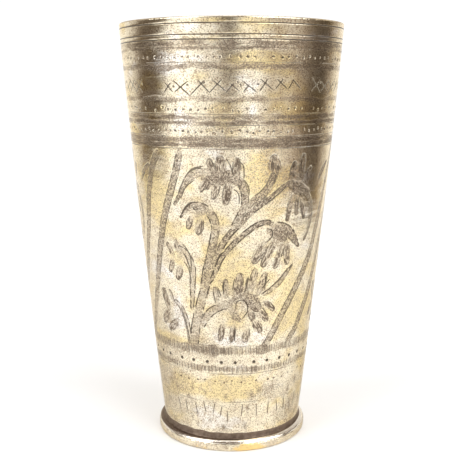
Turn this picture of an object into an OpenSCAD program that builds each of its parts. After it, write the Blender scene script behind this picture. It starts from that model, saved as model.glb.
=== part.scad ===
// Engraved drinking tumbler of tinned brass sheet, on a heavy turned foot ring.
// Millimetres. The Z axis is the cup's axis and z = 0 is the plane it stands on.

/* [Cup wall] */
// Height from the table to the rim
cup_h = 172; // [150:1:190]
// Outer diameter at the rim
mouth_d = 92; // [80:1:100]
// Outer diameter that the taper would reach at the table
heel_d = 57.7; // [50:0.1:58.5]
// How far the side bellies out past a straight taper, at half height
belly = 0.7; // [0:0.1:2]
// Thickness of the sheet
wall_t = 1.2; // [0.8:0.1:1.8]
// Height of the lower edge of the sheet, inside the foot ring
wall_z = 2; // [1.5:0.1:2.5]

/* [Turned rim] */
// Depth of the lowest turned line below the rim
line_1_drop = 8; // [7:0.1:10]
// Depth of the middle turned line below the rim
line_2_drop = 6.3; // [5:0.1:6.5]
// Depth of the top turned line below the rim
line_3_drop = 2.3; // [1.5:0.1:3.5]
// Width of a turned line
line_w = 0.5; // [0.3:0.1:0.8]
// Depth that a turned line is cut
line_cut = 0.25; // [0.1:0.05:0.4]

/* [Base plate] */
// Height of the plate's underside above the table
plate_z = 5.6; // [5:0.1:7]
// Thickness of the plate
plate_t = 1.2; // [0.8:0.1:2]

/* [Foot ring] */
// Outer diameter of the ring
ring_d = 64; // [63:0.5:68]
// Inner diameter of the ring's lip, which carries the sheet
ring_hole_d = 54.4; // [50:0.2:55]
// Height of the ring
ring_h = 4.6; // [4:0.1:5]
// Radius of the ring's upper shoulder
shoulder_r = 1.8; // [0.6:0.1:2]
// Radius of the ring's lower edge
lower_edge_r = 0.6; // [0.3:0.1:1]

/* [Solder] */
// Height that the outer fillet climbs up the wall above the ring
outer_fillet_h = 2.6; // [1.5:0.1:3]
// Size of the fillet between the wall and the top of the plate
inner_fillet = 1.5; // [0.8:0.1:2]
// Size of the fillet between the wall and the underside of the plate
under_fillet = 1.2; // [0.6:0.1:1.5]

/* [Hidden] */
$fn = 128;

heel_r = heel_d / 2;
mouth_r = mouth_d / 2;
ring_r = ring_d / 2;
plate_top = plate_z + plate_t;
fillet_top = ring_h + outer_fillet_h;
rim_round = wall_t / 2;
line_zs = [cup_h - line_1_drop, cup_h - line_2_drop, cup_h - line_3_drop];
side_top = line_zs[0] - line_w;
SIDE_STEPS = 16;
ARC_STEPS = 6;

// Outer and inner radius of the sheet at height z
function outer_r(z) =
    let (t = z / cup_h)
    heel_r + (mouth_r - heel_r) * t + belly * 4 * t * (1 - t);
function inner_r(z) = outer_r(z) - wall_t;

// Heights from z0 to z1 in equal steps, both ends included
function heights(z0, z1, steps) = [for (i = [0:steps]) z0 + (z1 - z0) * i / steps];

// The side of the sheet between two heights, outside and inside
function outside(z0, z1, steps) = [for (z = heights(z0, z1, steps)) [outer_r(z), z]];
function inside(z0, z1, steps) = [for (z = heights(z0, z1, steps)) [inner_r(z), z]];

// A V-shaped turned line cut into the outside at height z
function turned_line(z) = [
    [outer_r(z - line_w / 2), z - line_w / 2],
    [outer_r(z) - line_cut, z],
    [outer_r(z + line_w / 2), z + line_w / 2]
];

// Points on an arc about a centre, from angle a0 to a1
function arc(cx, cz, r, a0, a1) = [
    for (i = [0:ARC_STEPS])
        let (a = a0 + (a1 - a0) * i / ARC_STEPS)
        [cx + r * cos(a), cz + r * sin(a)]
];

// A hollow curve from point p to point q that leaves p along its height and reaches q along its radius
function hollow(p, q) = [
    for (i = [0:ARC_STEPS])
        let (a = 90 * i / ARC_STEPS)
        [p[0] + (q[0] - p[0]) * (1 - cos(a)), p[1] + (q[1] - p[1]) * sin(a)]
];

function reversed(points) = [for (i = [len(points) - 1:-1:0]) points[i]];

module turned(points) {
    rotate_extrude() polygon(points);
}

// Tapered side of the cup, with the three turned lines and a rounded rim
module cup_wall() {
    rim_z = cup_h - rim_round;
    lines = [for (z = line_zs) each turned_line(z)];
    color("#d8cba4")
        turned(concat(
            outside(wall_z, side_top, SIDE_STEPS),
            lines,
            arc(outer_r(rim_z) - rim_round, rim_z, rim_round, 0, 180),
            reversed(inside(wall_z, side_top, SIDE_STEPS))
        ));
}

// Flat disc that closes the cup, wedged in the taper
module base_plate() {
    color("#c9b88a")
        translate([0, 0, plate_z])
            cylinder(h = plate_t, r = inner_r(plate_z));
}

// Heavy turned ring around the lower edge of the wall, with a lip under the sheet
module foot_ring() {
    color("#d6c48f")
        turned(concat(
            [[ring_hole_d / 2, 0]],
            arc(ring_r - lower_edge_r, lower_edge_r, lower_edge_r, -90, 0),
            arc(ring_r - shoulder_r, ring_h - shoulder_r, shoulder_r, 0, 90),
            reversed(outside(wall_z, ring_h, 1)),
            [[ring_hole_d / 2, wall_z]]
        ));
}

// Solder that fills the corner above the ring with a hollow curve
module foot_ring_solder() {
    edge = [ring_r - shoulder_r, ring_h];
    color("#6e6252")
        turned(concat(
            [[outer_r(ring_h), ring_h]],
            reversed(hollow([outer_r(fillet_top), fillet_top], edge))
        ));
}

// Solder run round the inside of the cup, on top of the plate
module base_inner_solder() {
    z1 = plate_top + inner_fillet;
    color("#a39a86")
        turned(concat(
            [[inner_r(plate_top), plate_top]],
            hollow([inner_r(z1), z1], [inner_r(plate_top) - inner_fillet, plate_top])
        ));
}

// Solder run round the underside of the plate
module base_under_solder() {
    z0 = plate_z - under_fillet;
    color("#857b68")
        turned(concat(
            [[inner_r(plate_z), plate_z]],
            hollow([inner_r(z0), z0], [inner_r(plate_z) - under_fillet, plate_z])
        ));
}

cup_wall();
base_plate();
foot_ring();
foot_ring_solder();
base_inner_solder();
base_under_solder();
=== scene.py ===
"""Engraved drinking tumbler of tinned brass on a turned foot ring: the looks around the CAD frame."""
import math

import bpy
import numpy as np
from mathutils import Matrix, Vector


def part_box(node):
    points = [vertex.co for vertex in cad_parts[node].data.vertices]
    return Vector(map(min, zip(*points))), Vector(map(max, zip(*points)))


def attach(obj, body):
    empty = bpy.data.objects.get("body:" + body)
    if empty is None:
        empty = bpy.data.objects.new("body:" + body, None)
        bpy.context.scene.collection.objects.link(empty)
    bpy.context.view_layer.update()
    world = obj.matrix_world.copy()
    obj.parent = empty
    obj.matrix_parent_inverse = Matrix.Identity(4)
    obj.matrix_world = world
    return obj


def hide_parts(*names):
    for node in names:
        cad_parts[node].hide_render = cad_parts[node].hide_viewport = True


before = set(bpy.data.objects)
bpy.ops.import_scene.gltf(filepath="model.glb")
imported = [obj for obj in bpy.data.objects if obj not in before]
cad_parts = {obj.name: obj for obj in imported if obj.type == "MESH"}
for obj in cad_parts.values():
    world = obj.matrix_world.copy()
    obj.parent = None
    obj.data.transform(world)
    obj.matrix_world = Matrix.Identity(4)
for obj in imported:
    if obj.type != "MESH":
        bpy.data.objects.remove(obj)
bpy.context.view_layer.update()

# ---------------------------------------------------------------- sizes in mm
MM = 0.001


def low(node):
    return [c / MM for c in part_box(node)[0]]


def high(node):
    return [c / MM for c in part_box(node)[1]]


# Heights come from the boxes of the frame's nodes. Radii and curves repeat the CAD's own numbers.
CUP_H = high("cup_wall")[2]
WALL_Z = low("cup_wall")[2]
MOUTH_R = 46.0
HEEL_R = 28.85
BELLY = 0.7
WALL_T = 1.2
RIM_ROUND = WALL_T / 2
RING_R = 32.0
RING_HOLE_R = 27.2
RING_H = high("foot_ring")[2]
SHOULDER_R = 1.8
LOWER_EDGE_R = 0.6
PLATE_Z = low("base_plate")[2]
PLATE_TOP = high("base_plate")[2]
FILLET_TOP = high("foot_ring_solder")[2]
INNER_FILLET = high("base_inner_solder")[2] - PLATE_TOP
UNDER_FILLET = PLATE_Z - low("base_under_solder")[2]
TURNED_LINES = (164.0, 165.7, 169.7)

# How finely the engraved wall is meshed
COLUMNS = 960
ROW_STEP = 0.28
RIM_STEPS = 9

# Distances that stand for "no mark near": mm from a stroke, and half-widths from a thin cut or a dot
FAR = 10.0
UNMARKED = 4.0


def outer_r(z):
    """Radius of the wall's outside at height z: a straight taper with a slight belly."""
    t = np.asarray(z, float) / CUP_H
    return HEEL_R + (MOUTH_R - HEEL_R) * t + BELLY * 4 * t * (1 - t)


def inner_r(z):
    return outer_r(z) - WALL_T


def smooth(edge0, edge1, x):
    """0 at edge0, 1 at edge1, with an S-shaped rise between."""
    t = np.clip((x - edge0) / (edge1 - edge0), 0, 1)
    return t * t * (3 - 2 * t)


def ripple(phi, z, seed, terms=14, turns=9, per_mm=0.09):
    """Smooth seeded variation over the wall, about -1 to 1, which closes on itself round the cup."""
    rng = np.random.default_rng(seed)
    total = np.zeros(np.broadcast(phi, z).shape)
    for _ in range(terms):
        n = rng.integers(0, turns + 1)
        k = rng.uniform(-per_mm, per_mm) * 2 * math.pi
        total = total + np.cos(np.radians(phi) * n + z * k + rng.uniform(0, 2 * math.pi))
    return total / math.sqrt(terms)


# ---------------------------------------------------------------- engraving

def curve(points, step=0.6):
    """A smooth curve through points of (degrees round the cup, height in mm), sampled every step mm."""
    p = np.asarray(points, float)
    if len(p) == 2:
        p = np.array([p[0], (p[0] + p[1]) / 2, p[1]])
    ends = np.vstack([2 * p[0] - p[1], p, 2 * p[-1] - p[-2]])
    out = []
    for a, b, c, d in zip(ends, ends[1:], ends[2:], ends[3:]):
        length = math.hypot(math.radians(c[0] - b[0]) * float(outer_r(b[1])), c[1] - b[1])
        for t in np.linspace(0, 1, max(2, int(length / step) + 1))[:-1]:
            out.append(0.5 * (2 * b + (c - a) * t + (2 * a - 5 * b + 4 * c - d) * t**2
                              + (3 * b - a - 3 * c + d) * t**3))
    out.append(p[-1])
    return np.array(out)


class Canvas:
    """The wall's outside unrolled: one cell per vertex, engraved in degrees and millimetres.

    along, across and gap place a cell in its wriggle-cut stroke: mm along it, mm from its middle and mm
    outside its edge. tone and edge are how dark its fill and outline are. line is the signed distance from
    the nearest burin cut and pit that from the nearest punched dot, in half-widths of the mark. ink and hole
    are how strong those marks are. dark is tarnish, wear is bare brass, silver is whole tin, and depth is mm
    cut away.
    """

    def __init__(self, columns, heights):
        self.columns = columns
        self.z = np.asarray(heights, float)
        self.radius = outer_r(self.z)
        shape = (len(self.z), columns)
        for name in ("along", "across", "tone", "edge", "ink", "hole", "dark", "wear", "silver", "depth"):
            setattr(self, name, np.zeros(shape))
        self.gap = np.full(shape, FAR)
        self.line = np.full(shape, UNMARKED)
        self.pit = np.full(shape, UNMARKED)

    def window(self, phi0, phi1, z0, z1, margin):
        """Rows and columns within margin mm of a patch, and each cell's degrees and height."""
        rows = np.nonzero((self.z > z0 - margin) & (self.z < z1 + margin))[0]
        if not len(rows):
            return None
        pad = math.degrees(margin / self.radius[rows].min())
        per = self.columns / 360
        cols = np.arange(math.floor((phi0 - pad) * per), math.ceil((phi1 + pad) * per) + 1)
        return np.ix_(rows, cols % self.columns), cols / per, self.z[rows], self.radius[rows]

    def nearest(self, path, margin):
        """For cells near a path: how far along it, from 0 to 1 and in mm, and how far left of it each lies."""
        found = self.window(path[:, 0].min(), path[:, 0].max(), path[:, 1].min(), path[:, 1].max(), margin)
        if found is None:
            return None
        cells, phi, z, radius = found
        middle = path[:, 0].mean()
        x = np.radians(phi - middle)[None, :] * radius[:, None]
        y = np.broadcast_to(z[:, None], x.shape)
        px = np.radians(path[:, 0] - middle) * outer_r(path[:, 1])
        py = path[:, 1]
        best = np.full(x.shape, 1e9)
        along = np.zeros(x.shape)
        side = np.ones(x.shape)
        done = 0.0
        for ax, ay, bx, by in zip(px, py, px[1:], py[1:]):
            ux, uy = bx - ax, by - ay
            length = math.hypot(ux, uy) + 1e-9
            t = np.clip(((x - ax) * ux + (y - ay) * uy) / length**2, 0, 1)
            d = np.hypot(x - ax - t * ux, y - ay - t * uy)
            nearer = d < best
            best = np.where(nearer, d, best)
            along = np.where(nearer, done + t * length, along)
            side = np.where(nearer, np.where(ux * (y - ay) - uy * (x - ax) >= 0, 1.0, -1.0), side)
            done += length
        return cells, along / done, along, best * side

    def lay(self, cells, gap, along, across, tone, edge):
        """Sets a stroke's fields wherever it is nearer than the strokes laid before."""
        take = gap < self.gap[cells]
        for name, new in zip(("gap", "along", "across", "tone", "edge"), (gap, along, across, tone, edge)):
            field = getattr(self, name)
            field[cells] = np.where(take, new, field[cells])

    def stroke(self, points, widths, tone=(0.5, 0.5), edges=(1.0, 1.0), start=0.12, cut=0.05, stretch=1.0,
               tip=0.0):
        """A wriggle-cut stroke: a zigzag fill of half-width widths mm, with a burin line along each side."""
        found = self.nearest(curve(points), 1.4 + max(widths))
        if found is None:
            return
        cells, t, along, across = found
        half = np.interp(t, np.linspace(0, 1, len(widths)), widths)
        gap = np.abs(across) - half
        clear = self.gap[cells] > 0.5
        begin = smooth(0, start, t) if start else np.ones_like(t)
        edge = np.where(across > 0, edges[0], edges[1])
        edge = np.maximum(edge, tip * smooth(0.75, 0.95, t)) * begin
        shade = (tone[0] + (tone[1] - tone[0]) * t) * (0.5 + 0.5 * begin)
        self.lay(cells, gap, along / stretch, across, shade, edge)
        floor = cut * smooth(0.15, -0.45, gap)
        groove = 0.06 * edge * np.exp(-(gap / 0.25) ** 2)
        burr = 0.012 * edge * np.exp(-((gap - 0.5) / 0.25) ** 2) * clear
        self.depth[cells] = np.maximum(self.depth[cells], np.maximum(floor, groove)) - burr

    def score(self, cells, d, half, strength, cut):
        """Marks a thin cut at signed distance d mm, where it is nearer than the cuts made before."""
        n = np.clip(d / half, -UNMARKED, UNMARKED)
        take = np.abs(n) < np.abs(self.line[cells])
        self.line[cells] = np.where(take, n, self.line[cells])
        near = strength * smooth(0.5, 0.3, np.abs(d))
        self.ink[cells] = np.where(take, near, self.ink[cells])
        self.depth[cells] = np.maximum(self.depth[cells], cut * strength * np.exp(-(d / 0.2) ** 2))

    def burin(self, points, strength=0.9, half=0.22, cut=0.05):
        """One thin burin cut, which runs out at both ends."""
        found = self.nearest(curve(points), 1.0)
        if found is None:
            return
        cells, t, along, across = found
        ends = smooth(-0.02, 0.15, t) * smooth(1.02, 0.85, t)
        self.score(cells, across, half * (0.5 + 0.5 * ends), strength, cut)

    def punch(self, phi, z, r=0.5, strength=1.0, cut=0.28):
        """One punched dot, with the metal raised round it."""
        found = self.window(phi, phi, z, z, 3 * r)
        if found is None:
            return
        cells, column, row, radius = found
        x = np.radians(column - phi)[None, :] * radius[:, None]
        d = np.hypot(x, row[:, None] - z)
        take = d / r < self.pit[cells]
        self.pit[cells] = np.where(take, d / r, self.pit[cells])
        self.hole[cells] = np.where(take, strength, self.hole[cells])
        ring = 0.03 * np.exp(-((d - 1.5 * r) / (0.4 * r)) ** 2)
        self.depth[cells] = np.maximum(self.depth[cells], cut * smooth(r * 1.2, 0, d)) - ring

    def blot(self, field, phi, z, wide, tall, amount):
        """Adds a soft patch, wide and tall in mm, to a field."""
        found = self.window(phi, phi, z, z, 2.2 * max(wide, tall))
        if found is None:
            return
        cells, column, row, radius = found
        x = np.radians(column - phi)[None, :] * radius[:, None] / wide
        y = (row[:, None] - z) / tall
        mask = np.exp(-(x * x + y * y))
        target = getattr(self, field)
        target[cells] = 1 - (1 - target[cells]) * (1 - amount * mask)

    def ring(self, z, half, tone, grime_and_shade, seed=1, pitch=1.15):
        """A wriggle-cut band right round the cup, darker with grime in some places than in others."""
        phi = np.arange(self.columns) * 360 / self.columns
        rows = np.nonzero(np.abs(self.z - z) < half + 1.5)[0]
        height = z + 0.2 * ripple(phi, 0.0, seed, turns=14)
        width = half * (1 + 0.25 * ripple(phi, 0.0, seed + 1, turns=40))
        uneven = np.clip(1 + 0.5 * ripple(phi, 0.0, seed + 2, turns=24), 0.15, 1.7)
        shade = tone * uneven
        length = round(2 * math.pi * float(outer_r(z)) / (2 * pitch)) * 2 * pitch
        across = self.z[rows][:, None] - height[None, :]
        gap = np.abs(across) - width[None, :]
        self.lay(rows, gap, phi[None, :] / 360 * length, across, shade[None, :], 0.0)
        self.dark[rows] = np.maximum(self.dark[rows], grime_and_shade * uneven[None, :] * smooth(0.5, -0.4, gap))
        self.depth[rows] = np.maximum(self.depth[rows], 0.04 * smooth(0.1, -0.4, gap))

    def hoop(self, z, half=0.2, strength=0.8, cut=0.04, seed=3, broken=0.5):
        """A thin turned line right round the cup, faint in places."""
        phi = np.arange(self.columns) * 360 / self.columns
        rows = np.nonzero(np.abs(self.z - z) < 1.0)[0]
        height = z + 0.05 * ripple(phi, 0.0, seed, turns=6)
        keep = np.clip(1 - broken * (0.5 + ripple(phi, 0.0, seed + 1, turns=14)), 0, 1)
        cells = np.ix_(rows, np.arange(self.columns))
        self.score(cells, self.z[rows][:, None] - height[None, :], half, strength * keep[None, :], cut)


# One flower panel, in degrees from its middle and mm above the table.
# Stems: points, half-widths, tone from start to end, and how strong the outlines are.
STEMS = (
    ([(-26, 45.5), (-24.5, 52), (-22, 58.5), (-19, 65), (-16, 70.5)], (1.7, 1.9, 1.8, 1.7, 1.5), (0.4, 0.45),
     (1, 1)),
    ([(-16, 70.5), (-12.5, 77), (-8.5, 83.5), (-4, 89), (0, 92.6), (5, 96), (10, 99.7), (15, 102.5),
     (20, 104.7), (25, 107.2), (30, 109.8), (35, 111.3)],
     (0.9, 1, 1.1, 1.1, 1.1, 1, 0.9, 0.9, 0.9, 0.9, 0.9, 0.8), (0.45, 0.8), (0.8, 1)),
    ([(-14.5, 71), (-10, 76), (-6.5, 81.5), (-2, 85.5), (3, 89.2), (8, 92.2), (14, 95), (20, 96.2),
     (24, 95.2)], (0.5, 0.7, 0.9, 0.9, 0.9, 0.9, 0.9, 0.9, 0.8), (0.5, 0.7), (1, 1)),
    ([(-17.5, 70.5), (-16, 75.5), (-13.5, 81), (-11, 87), (-9.5, 91.5), (-9, 95), (-10.5, 98.5),
     (-13.5, 101), (-17, 102.5), (-20, 102)], (1.1, 1.2, 1.3, 1.4, 1.5, 1.5, 1.5, 1.6, 1.5, 1), (0.65, 0.45),
     (1, 0.8)),
    ([(1.5, 94.5), (4.5, 98.5), (7, 102.5), (7.3, 107), (5.5, 111), (2, 113.5)],
     (1.3, 1.3, 1.3, 1.3, 1.4, 1.2), (0.45, 0.6), (1, 0.7)),
    ([(9.5, 101.5), (13, 104.5), (17.5, 107.3), (21, 110.5), (23.6, 115)], (1.2, 1.7, 1.5, 1.4, 1.3),
     (0.6, 0.7), (0.8, 0.8)),
    ([(-26, 60), (-25.2, 66), (-24.5, 72), (-24, 77), (-25.5, 81), (-28.5, 84), (-32, 85.3)],
     (0.6, 0.8, 1, 1.2, 1.3, 1.2, 0.8), (0.3, 0.3), (1, 0.9)),
    ([(-29, 45.5), (-29.8, 51), (-31.3, 56), (-34.5, 60.5), (-38.5, 62.5)], (0.8, 0.9, 1, 1, 0.7),
     (0.3, 0.35), (0.7, 1)),
    ([(-20, 53.5), (-16, 58), (-11.5, 60.8), (-6, 62.5), (-1, 63)], (1, 1.4, 1.5, 1.4, 1), (0.35, 0.35),
     (0.9, 1)),
    ([(19.5, 66.8), (25.5, 68.6), (31.5, 71.5), (36, 74.8), (40, 77.5)], (0.5, 0.9, 1, 0.9, 0.3),
     (0.3, 0.65), (1, 0.6)),
    ([(43, 107.5), (48, 105.5), (52, 101.5), (53.3, 96), (51.8, 91), (49, 87.5)], (0.8, 1, 1.1, 1, 0.8, 0.4),
     (0.5, 0.45), (0.6, 0.6)),
    ([(58, 111.5), (63, 115), (67.5, 117.5)], (0.5, 1, 0.4), (0.45, 0.45), (1, 1)),
)

# Long curved petals and the wriggled hearts of the flowers, in the same form.
HEARTS = (
    ([(-12, 115.3), (-18, 115.3), (-22.5, 113.6), (-26.5, 110.1), (-30, 106), (-33.3, 102.8)],
     (1.4, 1.7, 1.5, 1.1, 0.8, 0.5), (0.3, 0.85), (0.3, 0.9)),
    ([(-15, 113.5), (-9, 113), (-4, 114), (1, 113.5), (4, 112.5)], (1.2, 2.4, 3, 2.6, 1.6), (0.75, 0.8),
     (0.1, 0.1)),
    ([(-17.5, 103), (-22, 102.6), (-26.5, 100.4), (-29.5, 97.6)], (1, 0.9, 0.7, 0.4), (0.2, 0.8), (0.2, 1)),
    ([(-12, 101), (-16, 100.5), (-19.5, 99)], (1.5, 1.8, 1.2), (0.5, 0.4), (0, 0)),
    ([(-34, 80.5), (-30, 84)], (1, 1.3, 0.8), (0.3, 0.3), (0, 0)),
    ([(-5, 64), (-1.5, 63.6), (2, 65)], (1, 1.6, 1.2), (0.5, 0.5), (0, 0)),
    ([(8, 66.5), (13, 64.5), (16, 62)], (1.8, 3, 2.2), (0.75, 0.8), (0, 0)),
    ([(0, 61.5), (2.5, 58.5), (5.5, 56.5)], (1, 1.7, 0.8), (0.5, 0.65), (0, 0.3)),
    ([(22, 93), (27, 91.5), (32, 89.5)], (1.4, 2.4, 2), (0.6, 0.65), (0, 0)),
    ([(24.5, 95), (29, 94.3), (33.5, 92.7), (38, 90), (41.5, 87.3), (43.6, 85.6)],
     (0.9, 1.4, 1.8, 1.8, 1.4, 0.6), (0.35, 0.95), (1, 0.5)),
    ([(34.5, 110), (39, 109), (44, 107.5), (47.5, 107)], (1.4, 2.6, 2.4, 1.4), (0.75, 0.65), (0, 0)),
)

# Short petals and buds: base, tip, half-width, tone at the base and the tip.
PETALS = (
    ((-9.5, 114), (-11.5, 119.8), 1.35, 0.7, 0.8),
    ((-5.3, 113.5), (-5.8, 120.4), 2.1, 0.75, 0.75),
    ((2.2, 113.5), (2.8, 120.2), 1.5, 0.5, 0.6),
    ((-12.5, 113), (-16.3, 109), 1.3, 0.5, 0.85),
    ((-11, 112), (-13, 109.6), 0.7, 0.5, 0.85),
    ((-7, 112), (-9.6, 106.4), 1.35, 0.5, 0.95),
    ((-1.2, 112), (-3, 104.6), 1.65, 0.6, 1.0),
    ((24, 115.4), (22.8, 120.2), 2.6, 0.85, 0.7),
    ((-22.8, 98.2), (-25.2, 94), 1.2, 0.35, 0.95),
    ((-17.3, 98), (-19, 92.3), 1.6, 0.35, 0.85),
    ((-37.2, 81.3), (-41.2, 86), 1.1, 0.45, 0.6),
    ((-33.8, 83), (-34.8, 88), 0.9, 0.35, 0.5),
    ((-37.8, 79.7), (-40.6, 75.6), 1.25, 0.6, 0.95),
    ((-32.4, 77.7), (-35, 73), 1.5, 0.35, 0.95),
    ((-40.4, 61.3), (-43.2, 66.4), 0.8, 0.35, 0.4),
    ((-45.4, 59), (-49.4, 66), 1.7, 0.75, 0.65),
    ((-46.6, 57.3), (-51.6, 53.2), 1.7, 0.7, 0.9),
    ((-38.8, 54.7), (-45.4, 50.4), 1.7, 0.5, 0.95),
    ((-9, 64), (-10, 69.8), 1.0, 0.25, 0.35),
    ((-3.2, 66.8), (-3.7, 73), 1.2, 0.65, 0.7),
    ((3.4, 66.5), (4.9, 75), 1.75, 0.7, 0.8),
    ((12.5, 69), (14.3, 76.8), 1.4, 0.45, 0.55),
    ((16.8, 67.5), (20.6, 75), 1.5, 0.6, 0.7),
    ((9.5, 67), (10, 73.5), 0.7, 0.4, 0.4),
    ((-5.4, 55.5), (-7.3, 48.9), 1.2, 0.35, 0.95),
    ((1.2, 54.5), (-0.2, 48.4), 1.2, 0.45, 0.95),
    ((10.2, 52.5), (9, 48.2), 1.4, 0.4, 0.9),
    ((21.6, 63.8), (27.7, 60.4), 1.1, 0.55, 0.95),
    ((18.4, 60.2), (23.4, 56.2), 1.2, 0.55, 0.8),
    ((11.5, 60), (14, 56.8), 1.2, 0.7, 0.75),
    ((14.8, 56.2), (19, 52), 1.65, 0.8, 1.0),
    ((18.8, 87.6), (13.8, 81.2), 2, 0.45, 0.7),
    ((26.2, 89), (19.4, 79.4), 1.7, 0.45, 0.95),
    ((32, 88), (27.4, 78.2), 1.4, 0.35, 0.9),
    ((34.4, 87.5), (35.8, 79.4), 1.6, 0.55, 0.7),
    ((34.5, 112.5), (36, 118.2), 1.4, 0.65, 0.75),
    ((41, 114), (42, 120.8), 1.5, 0.65, 0.75),
    ((46, 111.5), (48.5, 116), 1.2, 0.5, 0.6),
    ((35.6, 106), (33.6, 96.8), 1.15, 0.4, 0.9),
    ((39.6, 105.5), (39.8, 98.8), 0.95, 0.35, 0.75),
    ((42.8, 104), (46.6, 97), 0.9, 0.4, 0.75),
)

# Single burin lines beside the petals.
LINES = (
    [(-25.5, 113.6), (-21, 116.8), (-15, 117.9)],
    [(-20, 112.5), (-25.5, 109.6), (-29, 105)],
    [(-2.6, 120.8), (-0.6, 118.3), (0.6, 115.6)],
    [(0.7, 115.8), (0.9, 119.3)],
    [(4.4, 119.8), (6.4, 117.6), (6.7, 113.4)],
    [(6.6, 112.8), (8.6, 111), (9.6, 108.6), (9.4, 107)],
    [(1.6, 109.2), (4, 107.2), (4.2, 104)],
    [(-18.5, 104), (-23, 103.7), (-26.8, 101.6), (-29.6, 98.4)],
    [(-25.2, 75.5), (-24.8, 81), (-27, 85), (-30.5, 87.4)],
    [(-29, 79.6), (-26.7, 77), (-25.2, 72)],
    [(-29.2, 45.8), (-31.2, 54), (-34.4, 60)],
    [(19, 69.6), (24, 73)],
    [(1.9, 51), (1.7, 48)],
    [(2.3, 53.8), (2.1, 48)],
    [(11.6, 53), (11.9, 49.7)],
    [(6.6, 57), (9.9, 60), (10, 63.2), (7.4, 65), (3.4, 64.4), (2.6, 61.2)],
    [(20.4, 61.2), (24.1, 57.9)],
    [(21.4, 74.2), (21, 68.8)],
    [(10.4, 74.6), (9, 70.4), (7.8, 68)],
    [(1.8, 74), (0.6, 69.4)],
    [(20.9, 93.6), (24, 92.6), (23.9, 90.3), (20.2, 88)],
    [(19.5, 67.2), (25.2, 69.7), (31, 72.7), (36, 75.8), (40.3, 78)],
    [(-11.4, 68.6), (-10, 63.9)],
    [(-8.4, 70.3), (-6.5, 66.8)],
    [(-5, 72.4), (-4.8, 68.4)],
)

# Slanting ribbons between the panels: two to the left of the middle panel and two to its right.
LEFT_RIBBONS = (
    [(-28, 123), (-31.5, 115), (-37, 105.5), (-43, 95.5), (-50, 81), (-57, 67), (-66, 53), (-73, 44.5)],
    [(-43.5, 122.5), (-48.5, 117.5), (-52, 111.5), (-55.5, 104.5), (-59.5, 92.5), (-64, 84), (-70, 74),
     (-77, 65), (-86, 55), (-97, 44.5)],
)
RIGHT_RIBBONS = (
    [(21.5, 43.5), (28, 50), (34, 56.5), (39.5, 62), (46, 68.5), (52, 74.5), (58, 82), (62, 91), (66, 101),
     (71, 111), (76.5, 122.5)],
    [(41, 44.5), (49, 50), (54.5, 56.5), (60, 62.5), (64.5, 69.5), (69, 79), (74, 90), (79, 101),
     (84.5, 112), (91, 123)],
)

# Crosses near the rim: the two ends of each cut in the middle of the front, where the hand wandered most.
CROSSES = (
    ((-35, 145.2), (-31, 148.5)), ((-34, 148.5), (-30, 145.3)), ((-28.5, 145.3), (-21.5, 149)),
    ((-29, 149.3), (-20.5, 144)), ((-20, 144.2), (-13, 149.3)), ((-16, 149.5), (-10.5, 145)),
    ((-10.5, 145), (-4.5, 149.8)), ((-9, 149.5), (-2.5, 145.5)), ((-2.3, 145.3), (1, 148.3)),
    ((-0.5, 148.3), (3.5, 145.6)), ((5.5, 149), (12, 145.3)), ((6, 145.5), (8, 147.3)),
    ((13.7, 145.6), (17.5, 149.8)), ((14, 149.8), (20, 146.3)), ((22, 146.5), (25.5, 149.8)),
    ((22.5, 149.8), (28, 146.5)), ((29, 146.5), (31.5, 149.6)), ((31, 149.8), (36, 146.5)),
)
CROSS_LOW = 145.4
CROSS_HIGH = 149.4
BIG_DOT_Z = 38.6
TICK_LENGTH = 5
# Single dots between the crosses, big dots by angle, dark dabs near the foot, and ticks: angle, top, lean
CROSS_DOTS = (
    (-29.3, 147.2), (-21.5, 147.8), (-13, 148.5), (-5.5, 149), (3, 148.8), (4.3, 147.9), (12.8, 148),
)
BIG_DOTS = (-37.5, -27.5, -17, -7, 2.5, 15.7, 25.5, 36, 45.5, 55.5)
DABS = (
    (-46, 24.5), (-34, 22), (-30, 26.3), (-20, 25), (-4, 23.5), (15, 24), (20.5, 25.7), (31.5, 26), (48, 23),
    (56, 26), (-28, 10.2), (-17, 12.5), (-32, 12.5), (-6.5, 9.5), (11, 10), (12, 18), (47.5, 15),
    (48.5, 11.5),
)
TICKS = (
    (-45, 19.5, 1.2), (-37.5, 20, 0.7), (-28.5, 19.5, 1.5), (-21.5, 21, 1.5), (-12.5, 20.5, -1.8),
    (-7, 19.5, -1.8), (-3, 17, -0.2), (8.3, 20, -0.7), (19, 19.5, 0.4), (29, 19.5, 0), (36.5, 19.5, 1.5),
    (44, 19.5, 1), (51.5, 18, 1.4),
)


def tapered(half):
    """Half-widths of a petal from its base to its blunt tip."""
    return (0.6 * half, 0.9 * half, half, half, 0.7 * half)


def engrave_panel(canvas, turn, seed):
    """One flower panel, turned about the cup. A seed other than 0 moves every stroke a little, by hand.

    The panel at the back right has no leaf beside its ribbons.
    """
    rng = np.random.default_rng(seed)

    def placed(points, loose=1.0):
        shift = rng.normal(0, 1, 2) * (0.5, 0.4) if seed else (0.0, 0.0)
        each = rng.normal(0, 1, (len(points), 2)) * (0.35, 0.3) * loose if seed else 0.0
        return np.asarray(points, float) + (turn + shift[0], shift[1]) + each

    for points, widths, tone, edges in HEARTS:
        canvas.stroke(placed(points), widths, tone, edges)
    for points, widths, tone, edges in STEMS[:-1] if turn > 0 else STEMS:
        canvas.stroke(placed(points, 0.5), widths, tone, edges, start=0.04)
    for i, (base, tip, half, tone0, tone1) in enumerate(PETALS):
        edges = (0.8, 0.15) if i % 2 else (0.15, 0.8)
        ends = placed((base, tip))
        canvas.stroke(ends, tapered(half), (tone0, tone1), edges, start=0.3, stretch=4.0, tip=0.6)
    for points in LINES:
        canvas.burin(placed(points))


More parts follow.
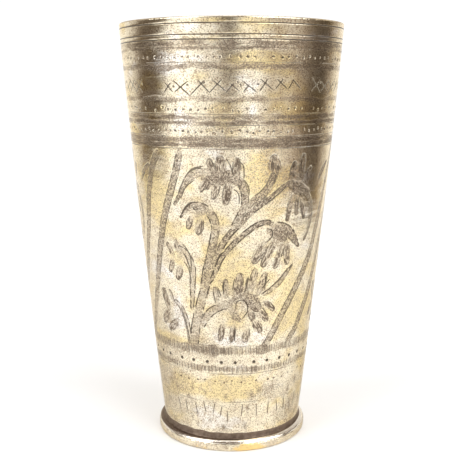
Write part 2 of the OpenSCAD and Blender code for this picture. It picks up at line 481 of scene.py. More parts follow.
def engrave_ribbons(canvas):
    behind = [[(p - 120, z) for p, z in points] for points in LEFT_RIBBONS]
    for points in (*LEFT_RIBBONS, *RIGHT_RIBBONS, *behind):
        canvas.stroke(points, (1.3, 1.5, 1.5, 1.4, 1.3), (0.55, 0.5), (0.8, 0.8), start=0.02)


def dot_row(canvas, z, pitch, r, seed, wander=0.3, strength=1.0, skip=0.06):
    """A row of punched dots right round the cup, spaced by eye."""
    rng = np.random.default_rng(seed)
    count = round(360 / pitch)
    for i in range(count):
        phi = (i + rng.normal(0, 0.13)) * 360 / count
        size = r * rng.uniform(0.7, 1.2)
        if rng.random() > skip:
            canvas.punch(phi, z + rng.normal(0, wander), size, strength * rng.uniform(0.65, 1))


def short_strokes(canvas, z0, z1, pitch, half, seed, strength):
    """A band of short upright cuts right round the cup."""
    rng = np.random.default_rng(seed)
    count = round(360 / pitch)
    for i in range(count):
        phi = (i + rng.normal(0, 0.12)) * 360 / count
        lean = rng.normal(0, 0.25)
        top, bottom = z1 + rng.normal(0, 0.2), z0 + rng.normal(0, 0.2)
        canvas.burin([(phi, bottom), (phi + lean, top)], strength * rng.uniform(0.4, 1), half)


# Wriggle-cut bands: height, half-width, tone, grime, seed
BANDS = (
    (162.6, 0.9, 0.2, 0.6, 11), (160.9, 0.5, 0.2, 0.6, 15), (154.4, 0.9, 0.15, 0.5, 21),
    (142.6, 0.9, 0.1, 0.4, 31), (136.1, 0.7, 0.2, 0.7, 41), (134.1, 0.6, 0.25, 0.95, 45),
    (127.6, 0.9, 0.2, 0.6, 51), (125.8, 0.8, 0.25, 0.9, 55), (43.6, 1.6, 0.1, 0.45, 61),
    (35.5, 1.1, 0.1, 0.45, 65),
)
# Thin turned lines: height, strength, how much of it is worn away, seed
HOOPS = (
    (155.8, 0.6, 0.9, 71), (137.2, 0.5, 0.8, 73), (133.0, 0.7, 0.5, 75), (128.9, 0.5, 0.9, 77),
    (124.4, 0.7, 0.5, 79), (45.6, 0.35, 0.9, 81), (33.6, 0.5, 0.7, 83), (21, 0.3, 0.9, 85),
    (150.6, 0.25, 1, 87),
)


def engrave_bands(canvas):
    """Everything that runs round the cup above and below the flower panels."""
    for z, half, tone, grime_and_shade, seed in BANDS:
        canvas.ring(z, half, tone, grime_and_shade, seed)
    for z, strength, broken, seed in HOOPS:
        canvas.hoop(z, strength=strength, seed=seed, broken=broken)
    for z in TURNED_LINES:
        canvas.hoop(z, 0.2, 1.0, 0.0, 91, 0.0)
    dot_row(canvas, 157.8, 4.0, 0.5, 101, wander=0.15)
    dot_row(canvas, 139.0, 4.2, 0.5, 103)
    dot_row(canvas, 130.9, 3.7, 0.48, 105)
    dot_row(canvas, 30.1, 6.6, 0.45, 107)
    short_strokes(canvas, 42.0, 45.2, 1.9, 0.26, 111, 0.6)
    short_strokes(canvas, 34.4, 36.8, 2.7, 0.3, 113, 0.6)


def spaced(rng, start, pitch, count, wander):
    """Angles from start on, pitch degrees apart, each a little off."""
    for i in range(count):
        yield start + i * pitch + rng.normal(0, wander)


def engrave_front(canvas):
    """The crosses, dots, dabs and ticks: listed over the front, and by seeded chance round the rest."""
    for ends in CROSSES:
        canvas.burin(ends, 0.95, 0.23, 0.02)
    for phi, z in CROSS_DOTS:
        canvas.punch(phi, z, 0.42, 0.9)
    for phi in BIG_DOTS:
        canvas.punch(phi, BIG_DOT_Z, 0.72, 1.0, 0.35)
    for phi, z in DABS:
        canvas.blot("dark", phi, z, 0.7, 1.2, 0.8)
    for phi, z, lean in TICKS:
        canvas.burin([(phi, z), (phi + lean, z - TICK_LENGTH)], 0.75, 0.22)
    rng = np.random.default_rng(131)
    for phi in spaced(rng, 44, 7.4, 36, 0.4):
        for z0, z1 in ((CROSS_LOW, CROSS_HIGH), (CROSS_HIGH, CROSS_LOW)):
            start = (phi, z0 + rng.normal(0, 0.3))
            end = (phi + 6 + rng.normal(0, 0.6), z1 + rng.normal(0, 0.3))
            canvas.burin([start, end], 0.8, 0.22, 0.02)
        canvas.punch(phi + 6.7, 148.2 + rng.normal(0, 0.5), 0.4, 0.8)
    for phi in spaced(rng, 65.5, 10.2, 25, 0.6):
        canvas.punch(phi, BIG_DOT_Z + rng.normal(0, 0.3), 0.7, 1.0, 0.35)
    for phi in spaced(rng, 62, 7.1, 36, 1):
        z = rng.choice((24.0, 26.0, 12.0, 17.0)) + rng.normal(0, 1)
        canvas.blot("dark", phi, z, 1.0, 1.0, 0.6)
    for phi in spaced(rng, 59, 8.1, 31, 0.9):
        top = 19.5 + rng.normal(0, 0.7)
        canvas.burin([(phi, top), (phi + rng.normal(0, 1.2), top - TICK_LENGTH)], 0.7, 0.22)


# Listed patches: degrees, height, the patch's width and height in mm, and its strength, except for silver
WORN = (
    (-10, 170.5, 7, 1.2, 0.9), (8, 157, 9, 3, 0.55), (0, 27, 14, 6, 0.75), (-40, 29, 7, 5, 0.6),
    (14, 116, 5, 7, 0.7), (26, 113, 8, 9, 0.55), (3, 80, 11, 8, 0.6), (45, 60, 16, 10, 0.5),
    (-50, 108, 7, 10, 0.55), (-12, 90, 9, 12, 0.35), (2, 60, 4, 4, 0.4), (-44, 46, 8, 2, 0.6),
    (30, 135, 16, 8, 0.4), (-6, 137, 10, 6, 0.35), (120, 80, 22, 30, 0.6), (-130, 60, 20, 26, 0.6),
    (180, 120, 24, 20, 0.5), (-160, 28, 18, 8, 0.6),
)
SILVERY = (
    (-29, 118, 3, 5), (-8, 50.5, 4, 2.5), (22, 49, 4, 3), (-2, 47.5, 6, 1.5), (-32, 156, 6, 5),
    (-26, 135, 5, 5), (-36, 60, 3, 8), (24, 78.5, 4, 2), (-22, 85, 3, 5), (-14, 92, 3, 4), (10, 140, 3, 8),
    (-24, 14, 8, 4), (0, 12, 10, 3), (150, 60, 9, 14), (-140, 130, 9, 10),
)
TARNISHED = (
    (-17, 43.5, 4, 2, 0.8), (-15, 163, 10, 2, 0.3), (-2, 166, 3, 6, 0.25), (35, 155, 8, 5, 0.35),
    (42, 34.5, 5, 0.6, 0.5), (-30, 43, 10, 1.6, 0.4), (5, 68, 8, 4, 0.4), (15, 61, 6, 5, 0.35),
    (-44, 57, 5, 6, 0.35), (-6, 114, 8, 3, 0.35), (30, 88, 7, 5, 0.3), (41, 110, 7, 8, 0.5),
    (24, 117, 3, 4, 0.35), (-21, 102, 5, 3, 0.35), (-22, 48, 4, 4, 0.35), (-52, 28, 12, 22, 0.4),
    (30, 24, 8, 4, 0.35), (50, 14, 8, 8, 0.3), (150, 150, 14, 8, 0.4), (-110, 100, 10, 14, 0.3),
)


def age(canvas):
    """Where the tin has worn through to brass and where tarnish has gathered, from listed patches and in
    ripples.
    """
    for patch in WORN:
        canvas.blot("wear", *patch)
    for patch in SILVERY:
        canvas.blot("silver", *patch, 0.8)
    for patch in TARNISHED:
        canvas.blot("dark", *patch)
    phi = np.arange(canvas.columns)[None, :] * 360 / canvas.columns
    z = canvas.z[:, None]
    uneven = 0.15 * ripple(phi, z, 201) + 0.08 * ripple(phi, z, 203, turns=30, per_mm=0.25)
    canvas.wear += uneven - 0.6 * canvas.silver
    foot = 0.05 * smooth(34, 31, z)
    top_bands = 0.12 * smooth(164, 161, z) * smooth(152, 155, z)
    middle_bands = 0.12 * smooth(138, 135, z) * smooth(123.5, 126, z)
    specks = 0.08 * ripple(phi, z, 205, turns=24, per_mm=0.2)
    canvas.dark = np.clip(canvas.dark + foot + top_bands + middle_bands + specks, 0, 1)


def engraved(heights):
    """The finished canvas for the given heights."""
    canvas = Canvas(COLUMNS, heights)
    engrave_ribbons(canvas)
    engrave_panel(canvas, 0, 0)
    engrave_panel(canvas, 120, 7)
    engrave_panel(canvas, -120, 8)
    engrave_bands(canvas)
    engrave_front(canvas)
    age(canvas)
    return canvas


# ---------------------------------------------------------------- meshes

def revolve(name, rings, columns, closed=True, shape=None):
    """A mesh of rings about Z. rings are (radius, height) in mm, and shape(phi, r, z) adds mm to both."""
    phi = np.arange(columns) * 2 * math.pi / columns
    rings = np.asarray(rings, float)
    r = np.repeat(rings[:, 0][:, None], columns, 1)
    z = np.repeat(rings[:, 1][:, None], columns, 1)
    if shape is not None:
        dr, dz = shape(np.degrees(phi)[None, :], r, z)
        r = r + dr
        z = z + dz
    co = np.stack([r * np.sin(phi), -r * np.cos(phi), z], -1).reshape(-1, 3) * MM
    last = len(rings) if closed else len(rings) - 1
    i = np.arange(last)[:, None] * columns
    up = (np.arange(last)[:, None] + 1) % len(rings) * columns
    j = np.arange(columns)[None, :]
    k = (j + 1) % columns
    quads = np.stack([i + j, i + k, up + k, up + j], -1).reshape(-1, 4)
    return mesh_object(name, co, quads)


def mesh_object(name, co, quads):
    me = bpy.data.meshes.new(name)
    me.vertices.add(len(co))
    me.vertices.foreach_set("co", np.ascontiguousarray(co, np.float32).ravel())
    me.loops.add(quads.size)
    me.loops.foreach_set("vertex_index", np.ascontiguousarray(quads, np.int32).ravel())
    me.polygons.add(len(quads))
    me.polygons.foreach_set("loop_start", np.arange(0, quads.size, 4, dtype=np.int32))
    me.polygons.foreach_set("use_smooth", np.ones(len(quads), bool))
    me.update(calc_edges=True)
    me.validate()
    ob = bpy.data.objects.new(name, me)
    bpy.context.scene.collection.objects.link(ob)
    return ob


def store(ob, name, x, y, z):
    """Keeps three fields as one vector per vertex."""
    layer = ob.data.attributes.new(name, "FLOAT_VECTOR", "POINT")
    values = np.stack([np.ravel(x), np.ravel(y), np.ravel(z)], -1)
    layer.data.foreach_set("vector", np.ascontiguousarray(values, np.float32).ravel())


def arc(cr, cz, r, a0, a1, steps):
    """Points on an arc about (cr, cz), from a0 to a1 degrees."""
    turns = np.radians(np.linspace(a0, a1, steps))
    return [(cr + r * math.cos(a), cz + r * math.sin(a)) for a in turns]


def hollow(p, q, steps):
    """A hollow curve that leaves p along its height and reaches q along its radius."""
    return [(p[0] + (q[0] - p[0]) * (1 - math.cos(a)), p[1] + (q[1] - p[1]) * math.sin(a))
            for a in np.linspace(0, math.pi / 2, steps)]


def make_wall():
    """The engraved side of the cup, one closed shell: outside, rim, inside and lower edge."""
    rim_z = CUP_H - RIM_ROUND
    outside = np.arange(WALL_Z, rim_z, ROW_STEP)
    canvas = engraved(outside)
    rim = arc(float(outer_r(rim_z)) - RIM_ROUND, rim_z, RIM_ROUND, 0, 180, RIM_STEPS)
    inside = np.linspace(rim_z - 0.8, WALL_Z, 70)
    rings = [(float(outer_r(z)), z) for z in outside] + rim + [(float(inner_r(z)), z) for z in inside]
    rows = len(outside)
    total = len(rings)

    def field(values, fill=0.0):
        out = np.full((total, COLUMNS), fill)
        out[:rows] = values
        return out

    grooves = sum(0.12 * np.clip(1 - np.abs(outside - z) / 0.4, 0, 1) for z in TURNED_LINES)[:, None]

    def shape(phi, r, z):
        bent = 0.045 * ripple(phi, z, 301, turns=5, per_mm=0.02)
        dented = 0.012 * ripple(phi, z, 303, turns=4, per_mm=0.14)
        turned = 0.006 * ripple(0 * phi, z, 305, turns=0, per_mm=0.5)
        fade = smooth(WALL_Z, FILLET_TOP + 2, z) * smooth(CUP_H, CUP_H - 1.5, z)
        dr = (bent + dented + turned) * fade
        dr[:rows] -= canvas.depth + grooves
        return dr, 0 * r

    ob = revolve("cup_wall_engraved", rings, COLUMNS, shape=shape)
    lip = np.zeros((total, COLUMNS))
    lip[rows + RIM_STEPS // 2 + 1:] = 1.0
    store(ob, "cut", field(canvas.along), field(canvas.across), field(canvas.gap, FAR))
    store(ob, "look", field(canvas.tone), field(canvas.edge), field(canvas.dark))
    store(ob, "marks", field(canvas.line, UNMARKED), field(canvas.ink), field(canvas.pit, UNMARKED))
    store(ob, "state", lip, field(canvas.wear), field(canvas.hole))
    return ob


def make_foot():
    """The turned ring: a flat underside, a rounded lower edge, a low swelling side and a round shoulder."""
    seat_r = float(outer_r(WALL_Z))
    side_z = np.linspace(LOWER_EDGE_R + 0.2, RING_H - SHOULDER_R, 12)
    side = [(RING_R - 0.12 * ((z - 2.2) / 1.4) ** 2, z) for z in side_z]
    rings = [(r, 0.0) for r in np.linspace(RING_HOLE_R + 0.2, RING_R - LOWER_EDGE_R, 8)[:-1]]
    rings += arc(RING_R - LOWER_EDGE_R - 0.1, LOWER_EDGE_R, LOWER_EDGE_R, -90, -5, 8)
    rings += side
    rings += arc(RING_R - SHOULDER_R - 0.1, RING_H - SHOULDER_R, SHOULDER_R, 5, 90, 10)
    rings += [(r, RING_H) for r in np.linspace(RING_R - SHOULDER_R - 0.3, float(outer_r(RING_H)), 4)]
    rings += [(seat_r, WALL_Z), (RING_HOLE_R + 0.2, WALL_Z), (RING_HOLE_R, WALL_Z - 0.2), (RING_HOLE_R, 0.2)]

    def shape(phi, r, z):
        worn = 0.05 * ripple(phi, 4 * z, 311, turns=24, per_mm=0.2)
        worn = worn + 0.03 * ripple(phi, 9 * z, 313, turns=70, per_mm=0.3)
        outer = smooth(RING_R - 1.6, RING_R - 0.4, r)
        under = smooth(0.0, 0.9, z)
        return -np.abs(worn) * outer, -0.5 * np.abs(worn) * under * outer

    return revolve("foot_ring_turned", rings, 600, shape=shape)


def make_outer_solder():
    """The hollow run of solder above the ring, with an edge that wavers as solder does."""
    top = (float(outer_r(FILLET_TOP)), FILLET_TOP)
    rings = [(float(outer_r(RING_H)) - 0.1, RING_H - 0.03)]
    rings += hollow(top, (RING_R - SHOULDER_R, RING_H), 16)[::-1]

    def shape(phi, r, z):
        high_up = smooth(RING_H, FILLET_TOP, z)
        lumps = 0.05 * ripple(phi, 3 * z, 321, turns=40, per_mm=0.2)
        return -np.abs(lumps) * (1 - high_up), -0.16 * high_up * (1 + ripple(phi, 0 * z, 323, turns=26))

    return revolve("foot_ring_solder_run", rings, 480, shape=shape)


def make_fillet(name, plate_z, size, lump, turns, seed):
    """A run of solder between the wall and the plate: above it for a positive size, else below it."""
    corner = (float(inner_r(plate_z)), plate_z)
    tip_z = plate_z + size
    rings = [corner] + hollow((float(inner_r(tip_z)), tip_z), (corner[0] - abs(size), plate_z), 10)

    def shape(phi, r, z):
        lumps = np.abs(lump * ripple(phi, 2 * z, seed, turns=turns, per_mm=0.2))
        return lumps * smooth(corner[0] - 0.2, corner[0] - abs(size), r), 0 * r

    return revolve(name, rings if size > 0 else rings[::-1], 360, shape=shape)


def make_plate():
    """The bottom disc, spun slightly hollow between its edge and a small centre mark."""
    edge = float(inner_r(PLATE_Z))
    radii = np.concatenate([[0.05], np.linspace(0.6, edge - 0.25, 70)])
    under = [(r, PLATE_Z) for r in radii]
    rim = [(edge, PLATE_Z + 0.2), (edge, PLATE_TOP - 0.1)]
    above = [(r, PLATE_TOP) for r in radii[::-1]]

    def shape(phi, r, z):
        turned = 0.035 * np.abs(np.sin(r * 1.9))
        turned = turned + 0.03 * np.abs(ripple(phi, 2 * r, 351, turns=5, per_mm=0.04))
        centre = 0.25 * np.exp(-(r / 0.9) ** 2)
        inward = smooth(edge, edge - 1.5, r)
        face = np.where(z > (PLATE_Z + PLATE_TOP) / 2, -1.0, 1.0)
        return 0 * r, face * (turned + centre) * inward

    return revolve("base_plate_spun", under + rim + above, 240, shape=shape)


# ---------------------------------------------------------------- materials

class Nodes:
    """Short calls for building the node tree of a material or of the world."""

    def __init__(self, owner):
        owner.use_nodes = True
        self.tree = owner.node_tree
        self.tree.nodes.clear()

    def add(self, kind, *values, **settings):
        """A new node with the given settings, and the given values in its first sockets."""
        node = self.tree.nodes.new("ShaderNode" + kind)
        for name, value in settings.items():
            setattr(node, name, value)
        for socket, value in zip(node.inputs, values):
            self.put(socket, value)
        return node

    def put(self, socket, value):
        """Fills a socket with another node's output, or with a constant."""
        if isinstance(value, bpy.types.NodeSocket):
            self.tree.links.new(value, socket)
        else:
            socket.default_value = value

    def put_named(self, node, **values):
        for name, value in values.items():
            self.put(node.inputs[name.replace("_", " ")], value)

    def math(self, operation, a, b=0.0, c=0.0, clamp=False):
        return self.add("Math", a, b, c, operation=operation, use_clamp=clamp).outputs[0]

    def plus(self, a, b, clamp=False):
        return self.math("ADD", a, b, clamp=clamp)

    def minus(self, a, b):
        return self.math("SUBTRACT", a, b)

    def times(self, a, b, clamp=False):
        return self.math("MULTIPLY", a, b, clamp=clamp)

    def remap(self, value, low_in, high_in, low_out=0.0, high_out=1.0):
        """A smooth step from low_in to high_in."""
        values = (value, low_in, high_in, low_out, high_out)
        return self.add("MapRange", *values, interpolation_type="SMOOTHSTEP").outputs[0]

    def split(self, where):
        return tuple(self.add("SeparateXYZ", where).outputs)

    def distance(self, where, point):
        return self.add("VectorMath", where, point, operation="DISTANCE").outputs["Value"]

    def attribute(self, name):
        """The three numbers of a vertex attribute."""
        return self.split(self.add("Attribute", attribute_name=name).outputs["Vector"])

    def place(self, x=1.0, y=1.0, z=1.0):
        """Object coordinates in mm, stretched."""
        here = self.add("TexCoord").outputs["Object"]
        return self.add("VectorMath", here, (x / MM, y / MM, z / MM), operation="MULTIPLY").outputs[0]

    def along(self, along, across, here):
        """Coordinates that run with a stroke, with a third one that changes slowly from place to place."""
        slow = self.add("VectorMath", here, (0.11, 0.07, 0.13), operation="DOT_PRODUCT").outputs["Value"]
        return self.add("CombineXYZ", along, across, slow).outputs[0]

    def noise(self, where, scale, detail=3.0, rough=0.55):
        node = self.add("TexNoise")
        self.put_named(node, Vector=where, Scale=scale, Detail=detail, Roughness=rough)
        return node.outputs[0]

    def mix(self, factor, a, b, blend="MIX"):
        node = self.add("Mix", data_type="RGBA", blend_type=blend)
        self.put(node.inputs["Factor"], factor)
        self.put(node.inputs[6], a)
        self.put(node.inputs[7], b)
        return node.outputs[2]

    def bump(self, height, distance, strength=1.0):
        """A bumped normal. distance is in mm."""
        node = self.add("Bump")
        self.put_named(node, Height=height, Distance=distance * MM, Strength=strength)
        return node.outputs[0]


class Surface(Nodes):
    """The node tree of one material, around its shader."""

    def __init__(self, name):
        self.material = bpy.data.materials.new(name)
        super().__init__(self.material)
        self.shader = self.add("BsdfPrincipled")
        self.add("OutputMaterial", self.shader.outputs[0])

    def finish(self, colour, roughness, normal=None, metallic=1.0):
        self.put_named(self.shader, Base_Color=colour, Roughness=roughness, Metallic=metallic)
        if normal is not None:
            self.put_named(self.shader, Normal=normal)
        if metallic != 0.0:
            self.put_named(self.shader, Specular_Tint=EDGE_TINT)
        return self.material


# Linear colours of the metals
SILVER = (0.93, 0.885, 0.80, 1)
TIN = (0.90, 0.815, 0.63, 1)
BRASS = (0.87, 0.72, 0.40, 1)
HAZE = (0.64, 0.535, 0.41, 1)
UMBER = (0.33, 0.235, 0.15, 1)
SPECK = (0.165, 0.125, 0.092, 1)
GRIME = (0.045, 0.032, 0.022, 1)
DULL_TIN = (0.70, 0.645, 0.55, 1)
SOLDER = (0.12, 0.085, 0.064, 1)
OLD_SOLDER = (0.22, 0.165, 0.125, 1)
PALE_SOLDER = (0.34, 0.27, 0.2, 1)
RUBBED_BRASS = (0.86, 0.64, 0.29, 1)
# What the metals reflect at a grazing angle
EDGE_TINT = (0.8, 0.74, 0.64, 1)


def worn_tin(n, wear, haze=0.5, grain=0.75, dull=0.0):
    """Tin over brass: (colour, roughness, height). Brass shows where wear is high, haze where dull is."""
    here = n.place()
    patches = n.noise(here, 0.06, 3.0, 0.5)
    cloud = n.noise(here, 0.3, 5.0, 0.65)
    sand = n.noise(n.place(0.95, 0.95, 1.15), 2.2, 2.0, 0.8)
    fine = n.noise(here, 3.2, 3.0, 0.6)
    bare = n.plus(n.math("MULTIPLY_ADD", patches, 1.0, wear), n.times(cloud, 0.4))
    colour = n.mix(n.remap(bare, 0.56, 0.3), TIN, SILVER)
    colour = n.mix(n.remap(bare, 0.66, 1.1), colour, BRASS)
    film = n.math("MULTIPLY_ADD", cloud, 0.7, n.times(sand, 0.3))
    mist = n.remap(n.math("MULTIPLY_ADD", dull, 0.12, film), 0.46, 0.64, 0.0, haze)
    colour = n.mix(mist, colour, HAZE)
    grains = n.math("MULTIPLY_ADD", cloud, 0.06, n.times(sand, 0.94))
    dusk = n.remap(n.math("MULTIPLY_ADD", dull, 0.05, grains), 0.525, 0.585, 0.0, grain)
    colour = n.mix(dusk, colour, UMBER)
    rough = n.plus(n.times(mist, 0.06), n.times(dusk, 0.05))
    rough = n.plus(rough, n.math("MULTIPLY_ADD", fine, 0.08, 0.08))
    lathe = n.noise(n.place(0.05, 0.05, 1.0), 2.4, 3.0, 0.7)
    height = n.plus(n.times(lathe, 0.3), n.times(fine, 0.4))
    height = n.minus(height, n.times(sand, 0.5))
    return colour, rough, height


def wall_material():
    n = Surface("engraved_tinned_brass")
    along, across, gap = n.attribute("cut")
    tone, edge, dark = n.attribute("look")
    line, ink, pit = n.attribute("marks")
    inside, wear, hole = n.attribute("state")
    here = n.place()
    colour, rough, height = worn_tin(n, wear, grain=0.95, dull=dark)

    # Zigzag of the rocking chisel, from the place in the stroke, broken up by a trembling hand
    grit = n.noise(here, 1.7, 3.0, 0.7)
    drift = n.noise(here, 0.5, 3.0, 0.6)
    tremble = n.math("MULTIPLY_ADD", drift, 2.4, -1.2)
    phase = n.math("DIVIDE", n.plus(along, tremble), 1.05)
    swing = n.math("MULTIPLY_ADD", n.math("PINGPONG", phase, 1.0), 2.0, -1.0)
    reach = n.times(n.minus(n.math("ABSOLUTE", across), gap), 0.95)
    off = n.math("ABSOLUTE", n.minus(across, n.times(swing, reach)))
    streak = n.noise(n.along(along, across, here), 1.7, 3.0, 0.7)
    zigzag = n.times(n.remap(off, 0.55, 0.1), n.remap(streak, 0.36, 0.54))
    ragged = n.math("MULTIPLY_ADD", grit, 0.9, n.minus(gap, 0.45))
    inner = n.remap(ragged, 0.18, -0.3)
    fill = n.times(inner, n.times(tone, n.remap(drift, 0.35, 0.62, 0.85, 1.35)))
    flecks = n.plus(n.times(zigzag, 0.75), n.remap(streak, 0.42, 0.60, 0.05, 1.3))
    cut_dark = n.times(flecks, fill, clamp=True)

    # Outlines, burin cuts and punched dots
    wander = n.math("MULTIPLY_ADD", grit, 0.5, n.minus(gap, 0.25))
    outline = n.times(n.remap(n.math("ABSOLUTE", wander), 0.36, 0.13), edge)
    outline = n.times(outline, n.remap(drift, 0.40, 0.52, 0.15, 1.0))
    scored = n.times(n.remap(n.math("ABSOLUTE", line), 1.2, 0.75), ink)
    dots = n.times(n.remap(pit, 1.2, 0.65), hole)
    scratch = n.math("MAXIMUM", n.math("MAXIMUM", outline, scored), dots)

    # Tarnish gathers in specks
    specks = n.noise(n.place(0.85, 0.85, 1.2), 2.3, 3.0, 0.85)
    stain = n.remap(n.math("MULTIPLY_ADD", dark, 0.13, specks), 0.53, 0.66)
    stain = n.times(stain, n.remap(dark, 0.02, 0.3))

    colour = n.mix(n.times(inner, n.math("MULTIPLY_ADD", tone, 0.5, 0.12)), colour, HAZE)
    colour = n.mix(n.times(stain, 0.85), colour, SPECK)
    colour = n.mix(cut_dark, colour, SPECK)
    colour = n.mix(n.times(scratch, 0.95), colour, GRIME)
    rough = n.plus(rough, n.times(n.math("MAXIMUM", stain, cut_dark), 0.06))
    rough = n.plus(rough, n.times(scratch, 0.2))

    # Tinned inside: greyer, duller
    colour = n.mix(n.times(inside, 0.7), colour, DULL_TIN)
    rough = n.plus(rough, n.times(inside, 0.12), clamp=True)

    height = n.minus(height, n.times(cut_dark, 1.0))
    height = n.minus(height, n.times(scratch, 1.5))
    height = n.minus(height, n.times(stain, 0.25))
    normal = n.bump(height, 0.05, 0.8)
    metallic = n.minus(1.0, n.times(scratch, 0.6))
    return n.finish(colour, rough, normal, metallic)


def foot_material():
    n = Surface("turned_tinned_brass")
    colour, rough, height = worn_tin(n, -0.05, haze=0.75, grain=0.75, dull=0.25)
    here = n.place()
    x, y, z = n.split(here)
    r = n.math("SQRT", n.plus(n.times(x, x), n.times(y, y)))
    lumps = n.noise(here, 0.5, 4.0, 0.65)
    grit = n.noise(here, 1.8, 3.0, 0.7)
    # Brass shows where the lower edge has rubbed on tables, most of all a little right of the front
    lower = n.remap(n.math("ABSOLUTE", z), 3.2, 0.8, 0.0, 0.3)
    rubbed = n.plus(n.math("MULTIPLY_ADD", lumps, 1.2, -0.6), lower)
    rubbed = n.plus(rubbed, n.remap(n.distance(here, (7.5, -31.0, 1.0)), 8.0, 3.0, 0.0, 0.6))
    colour = n.mix(n.remap(rubbed, 0.3, 0.62), colour, RUBBED_BRASS)
    # Painted highlight: the shoulder is coloured silver, and its roughness is lowered
    colour = n.mix(n.remap(z, 2.9, 3.4, 0.0, 0.75), colour, SILVER)
    rough = n.minus(rough, n.remap(z, 2.9, 3.4, 0.0, 0.06))
    # Painted shade in the corner above the ring, thicker to the left: solder-dark colour over the ring's top,
    # partly solder grime and partly painted shade
    reach = n.math("MULTIPLY_ADD", x, -0.035, n.math("MULTIPLY_ADD", lumps, 1.2, 30.15))
    grime_and_shade = n.remap(n.minus(r, reach), 0.3, -0.1)
    grime_and_shade = n.times(grime_and_shade, n.remap(z, 3.6, 4.0))
    specks = n.remap(grit, 0.58, 0.68, 0.0, 0.7)
    colour = n.mix(specks, colour, UMBER)
    colour = n.mix(grime_and_shade, colour, n.mix(n.remap(grit, 0.4, 0.65), SOLDER, OLD_SOLDER))
    rough = n.plus(rough, n.times(grime_and_shade, 0.25))
    height = n.minus(height, n.times(specks, 0.8))
    return n.finish(colour, rough, n.bump(height, 0.05, 0.8))


def plate_material():
    n = Surface("dull_tinned_plate")
    colour, rough, height = worn_tin(n, -0.1, haze=0.9, grain=0.7)
    colour = n.mix(0.4, colour, DULL_TIN)
    rough = n.plus(rough, 0.12)
    return n.finish(colour, rough, n.bump(height, 0.05, 0.9))


def solder_material():
    n = Surface("tarnished_solder")
    here = n.place()
    lumps = n.noise(here, 0.5, 4.0, 0.6)
    fine = n.noise(here, 2.5, 3.0, 0.65)
    z = n.split(here)[2]
    pale = n.plus(n.remap(lumps, 0.4, 0.65, 0.0, 0.7), n.remap(z, 5.4, 7.0, 0.0, 0.5), clamp=True)
    colour = n.mix(pale, SOLDER, OLD_SOLDER)
    colour = n.mix(n.remap(fine, 0.55, 0.75, 0.0, 0.5), colour, PALE_SOLDER)
    rough = n.math("MULTIPLY_ADD", fine, 0.25, 0.3)
    height = n.plus(lumps, n.times(fine, 0.5))
    return n.finish(colour, rough, n.bump(height, 0.12, 0.8), 0.9)


# ---------------------------------------------------------------- studio

LENS_MM = 61.68
CAMERA_AT = (0.0006, -0.3377, 0.1471)
CAMERA_LOOKS_DOWN = 10.38
TABLE_HALF_SIZE = (0.475, 0.52, 1)
TABLE_AT = (-0.105, 0, -0.0001)
COOL_WHITE = (0.955, 0.965, 0.975, 1)
CLEAN_WHITE = (0.97, 0.98, 0.99, 1)

# Light round the horizon and overhead: degrees to the right of the camera's side, and radiance
HORIZON = (
    (-180, 1.1), (-160, 1.05), (-140, 0.85), (-125, 0.55), (-116, 0.18), (-106, 0.115), (-92, 0.11),
    (-77, 0.14), (-73, 0.8), (-62, 1.0), (-48, 1.2), (-40, 1.15), (-37, 0.82), (-22, 0.76), (-13, 0.62),
    (-8, 0.5), (4, 0.5), (9, 0.82), (20, 0.89), (33, 0.8), (36.5, 0.5), (62, 0.5), (70, 0.4), (78, 0.28),
    (86, 0.155), (94, 0.1), (109, 0.08), (116, 0.11), (123, 0.28), (131, 0.5), (148, 0.95), (180, 1.1),
)
OVERHEAD = (
    (-180, 0.7), (-125, 0.5), (-90, 0.25), (-84, 0.5), (-78, 2.1), (-40, 2.3), (-33, 0.2), (20, 0.2),
    (28, 2.3), (78, 2.1), (84, 0.5), (90, 0.25), (125, 0.5), (180, 0.7),
)
TABLE_GLOW = (0.06, 0.048, 0.037, 1)
WHITE = (1.0, 1.0, 1.0, 1)


def make_camera():
    data = bpy.data.cameras.new("camera")
    data.lens = LENS_MM
    data.sensor_width = 36
    cam = bpy.data.objects.new("camera", data)
    cam.location = CAMERA_AT
    cam.rotation_euler = (math.radians(90 - CAMERA_LOOKS_DOWN), 0, 0)
    bpy.context.scene.collection.objects.link(cam)
    bpy.context.scene.camera = cam


def make_floor():
    """An oval white table top, wide enough to fill the lower half of the cup's reflections."""
    rings = [(0.1, 0.0)] + [(r, 0.0) for r in np.linspace(20, 1000, 40)]
    floor = revolve("table_top", rings, 96, closed=False)
    floor.scale = TABLE_HALF_SIZE
    floor.location = TABLE_AT
    n = Surface("white_table")
    tint = n.noise(n.place(), 0.02, 3.0)
    colour = n.mix(tint, COOL_WHITE, CLEAN_WHITE)
    floor.data.materials.append(n.finish(colour, 0.55, metallic=0.0))


def ring_of_light(n, turn, stops):
    """Light by compass angle, where turn runs from 0 to 1. Dim light is warmer."""
    node = n.add("ValToRGB", turn)
    elements = node.color_ramp.elements
    while len(elements) < len(stops):
        elements.new(0.5)
    for element, (angle, value) in zip(elements, stops):
        element.position = angle / 360 + 0.5
        warm = 0.81 + 0.19 * smooth(0.1, 0.8, value)
        element.color = (value, value * warm, value * warm * warm, 1)
    return node.outputs[0]


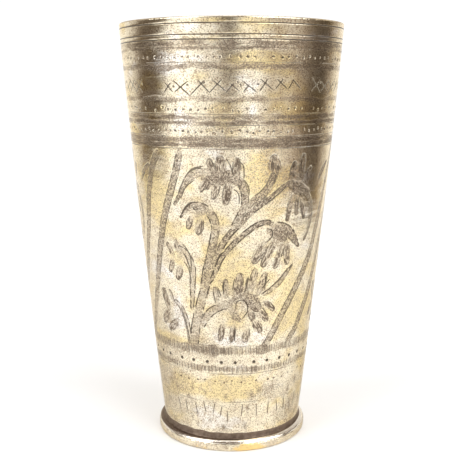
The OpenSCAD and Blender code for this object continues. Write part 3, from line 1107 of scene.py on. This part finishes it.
def make_studio():
    """Soft boxes and dark gaps by compass angle, brighter overhead, and plain white to the camera."""
    world = bpy.data.worlds.new("studio")
    bpy.context.scene.world = world
    n = Nodes(world)
    x, y, z = n.split(n.add("TexCoord").outputs["Generated"])
    compass = n.math("ARCTAN2", x, n.times(y, -1.0))
    compass = n.plus(n.math("DIVIDE", compass, 2 * math.pi), 0.5)
    # The left-hand dark gap leans: its edge moves round the compass with height
    left = n.math("MAXIMUM", n.times(x, -1.0), 0.0)
    lean = n.times(left, n.minus(-0.127, n.math("MINIMUM", z, 0.0)))
    leaning = n.plus(compass, n.times(lean, 0.29))
    # The camera itself, dark in the middle of the rim
    across = n.math("ABSOLUTE", n.minus(compass, 0.5 - 2 / 360))
    notch = n.times(n.remap(across, 11 / 360, 6 / 360), n.remap(z, -0.2, -0.15, 0.0, 0.7))
    light = n.mix(1.0, ring_of_light(n, leaning, HORIZON), n.minus(1.0, notch), "MULTIPLY")
    # Light off the table, which fills the dark gaps from below
    light = n.mix(n.remap(z, -0.13, -0.26), light, TABLE_GLOW, "ADD")
    light = n.mix(n.remap(z, 0.07, 0.3), light, ring_of_light(n, compass, OVERHEAD))
    light = n.mix(n.remap(z, 0.85, 0.95), light, WHITE)
    lit = n.add("Background", light, 1.43).outputs[0]
    plain = n.add("Background", WHITE, 1.05).outputs[0]
    to_camera = n.add("LightPath").outputs["Is Camera Ray"]
    n.add("OutputWorld", n.add("MixShader", to_camera, lit, plain).outputs[0])
    bpy.context.scene.view_settings.view_transform = "Standard"


# ---------------------------------------------------------------- the tumbler

wall_look = wall_material()
foot_look = foot_material()
plate_look = plate_material()
solder_look = solder_material()

make_camera()
make_floor()
make_studio()

for piece, node, slot, look in (
    (make_wall(), "cup_wall", "engraved_wall", wall_look),
    (make_plate(), "base_plate", "base_plate", plate_look),
    (make_foot(), "foot_ring", "foot_ring", foot_look),
    (make_outer_solder(), "foot_ring_solder", "solder", solder_look),
    (make_fillet("base_inner_solder_run", PLATE_TOP, INNER_FILLET, 0.07, 30, 331),
     "base_inner_solder", "solder", solder_look),
    (make_fillet("base_under_solder_run", PLATE_Z, -UNDER_FILLET, 0.09, 34, 341),
     "base_under_solder", "solder", solder_look),
):
    piece.data.materials.append(look)
    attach(piece, "root")
    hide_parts(node)
